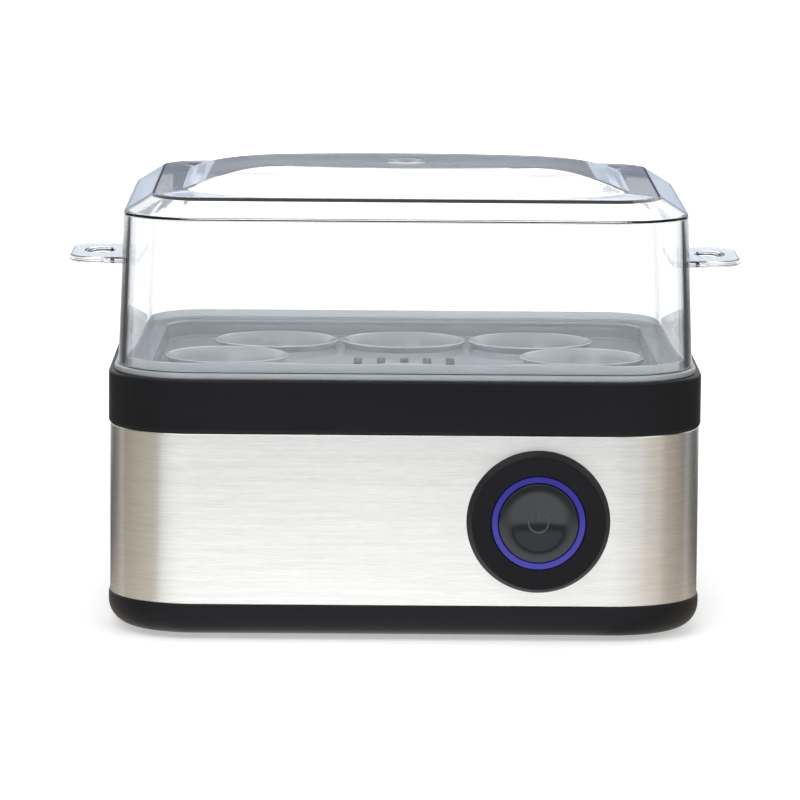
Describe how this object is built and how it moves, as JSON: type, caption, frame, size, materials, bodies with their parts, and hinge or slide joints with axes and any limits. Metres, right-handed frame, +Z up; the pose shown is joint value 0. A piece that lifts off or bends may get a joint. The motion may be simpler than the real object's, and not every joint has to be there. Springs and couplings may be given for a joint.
{
  "type": "electric egg cooker",
  "caption": "Rounded rectangular egg steamer: steel-banded base with a push button, clear egg tray and clear lid with ears.",
  "frame": {"origin": "on the surface the feet stand on, under the centre of the body", "axes": "+X to the right along the front, +Y to the rear, +Z up"},
  "size_m": [0.2308, 0.1679, 0.1542],
  "materials": {
    "black_housing": "satin black",
    "brushed_band": "horizontal brushing",
    "foot_rubber": "matte",
    "screw_steel": "zinc plated",
    "plate_steel": "drawn sheet",
    "gasket_silicone": "matte",
    "tab_brass": "plain",
    "spreader_aluminium": "cast",
    "element_steel": "drawn tube",
    "thermostat_case": "moulded",
    "fuse_metal": "plated",
    "block_plastic": "moulded",
    "gland_plastic": "moulded",
    "bezel_gloss": "gloss",
    "cap_gloss": "gloss",
    "light_blue": "lit diffuser",
    "led_lens": "clear",
    "board_green": "solder mask",
    "switch_plastic": "moulded",
    "plunger_plastic": "moulded",
    "tray_clear": "clear",
    "lid_clear": "clear"
  },
  "bodies": {
    "base": {"base_pan": "black_housing", "rubber_feet": "foot_rubber", "steel_band": "brushed_band", "top_ring": "black_housing", "housing_screws": "screw_steel", "plate_gasket": "gasket_silicone", "heating_plate": "plate_steel", "plate_washers": "screw_steel", "earth_tab": "tab_brass", "plate_nuts": "screw_steel", "heat_spreader": "spreader_aluminium", "heating_element": "element_steel", "element_pins": "element_steel", "thermostat": "thermostat_case", "thermostat_blades": "tab_brass", "thermal_fuse": "fuse_metal", "fuse_sleeve": "gasket_silicone", "fuse_clip": "element_steel", "clip_screws": "screw_steel", "terminal_block": "block_plastic", "terminal_screws": "screw_steel", "cord_gland": "gland_plastic", "gland_nut": "gland_plastic", "button_bezel": "bezel_gloss", "bezel_nut": "gland_plastic", "light_ring": "light_blue", "leds": "led_lens", "led_board": "board_green", "switch_holder": "switch_plastic", "switch_body": "switch_plastic", "switch_tabs": "tab_brass"},
    "tray": {"egg_tray": "tray_clear"},
    "lid": {"lid": "lid_clear"},
    "button": {"button_cap": "cap_gloss"},
    "plunger": {"switch_plunger": "plunger_plastic"}
  },
  "joints": [
    {"name": "tray_lift", "type": "slide", "parent": "base", "child": "tray", "axis": [0, 0, 1], "range_m": [0, 0.04]},
    {"name": "lid_lift", "type": "slide", "parent": "tray", "child": "lid", "axis": [0, 0, 1], "range_m": [0, 0.06]},
    {"name": "button_press", "type": "slide", "parent": "base", "child": "button", "axis": [0, 1, 0], "range_m": [0, 0.002], "stiffness_N_per_m": 800, "springref_m": -0.001},
    {"name": "plunger_slide", "type": "slide", "parent": "base", "child": "plunger", "axis": [0, 1, 0], "range_m": [0, 0.002]}
  ],
  "couplings": [
    {"joint": "plunger_slide", "follows": "button_press", "ratio": 1}
  ]
}
